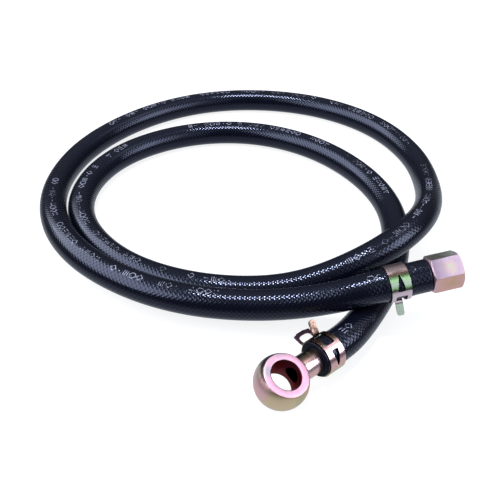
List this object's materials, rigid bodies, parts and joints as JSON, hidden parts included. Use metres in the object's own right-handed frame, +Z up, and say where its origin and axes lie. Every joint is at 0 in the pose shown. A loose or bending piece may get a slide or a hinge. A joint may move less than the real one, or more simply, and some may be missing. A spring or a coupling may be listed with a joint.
{
  "type": "hydraulic hose assembly",
  "caption": "Black rubber hydraulic hose lying in loose turns, with a banjo eye on one end, a hexagon union nut on the other and a spring band clamp on each end.",
  "frame": {"origin": "on the surface the hose lies on, under the middle of the assembly's bounding box", "axes": "+Z up, +Y from the fittings towards the far side of the loops, +X towards the side that the nut points to"},
  "size_m": [0.2564, 0.3181, 0.0408],
  "materials": {
    "hose_cover": "glossy smooth black rubber",
    "hose_braid": "textile braid",
    "hose_liner": "smooth black rubber",
    "eye_plating": "bright iridescent yellow zinc plating",
    "banjo_tail_plating": "bright iridescent yellow zinc plating",
    "nut_tail_plating": "bright iridescent yellow zinc plating",
    "nut_plating": "bright iridescent yellow zinc plating",
    "banjo_clamp_plating": "bright iridescent yellow zinc plating",
    "nut_clamp_plating": "bright iridescent yellow zinc plating"
  },
  "bodies": {
    "hose": {"hose_cover": "hose_cover", "hose_braid": "hose_braid", "hose_liner": "hose_liner", "banjo_eye": "eye_plating", "banjo_tail": "banjo_tail_plating", "nut_tail": "nut_tail_plating"},
    "nut": {"union_nut": "nut_plating"},
    "banjo_clamp": {"banjo_end_clamp": "banjo_clamp_plating"},
    "nut_clamp": {"nut_end_clamp": "nut_clamp_plating"}
  },
  "joints": [
    {"name": "nut_spin", "type": "hinge", "parent": "hose", "child": "nut", "pos_m": [0.10094, -0.09033, 0.03021], "axis": [0.9732, 0.1892, 0.1305], "continuous": true},
    {"name": "banjo_clamp_turn", "type": "hinge", "parent": "hose", "child": "banjo_clamp", "pos_m": [0.03967, -0.12807, 0.01131], "axis": [-0.749, -0.6603, 0.0541], "range_deg": [-150, 45]},
    {"name": "nut_clamp_slide", "type": "slide", "parent": "hose", "child": "nut_clamp", "axis": [0.9732, 0.1892, 0.1305], "range_m": [0, 0.008]}
  ]
}
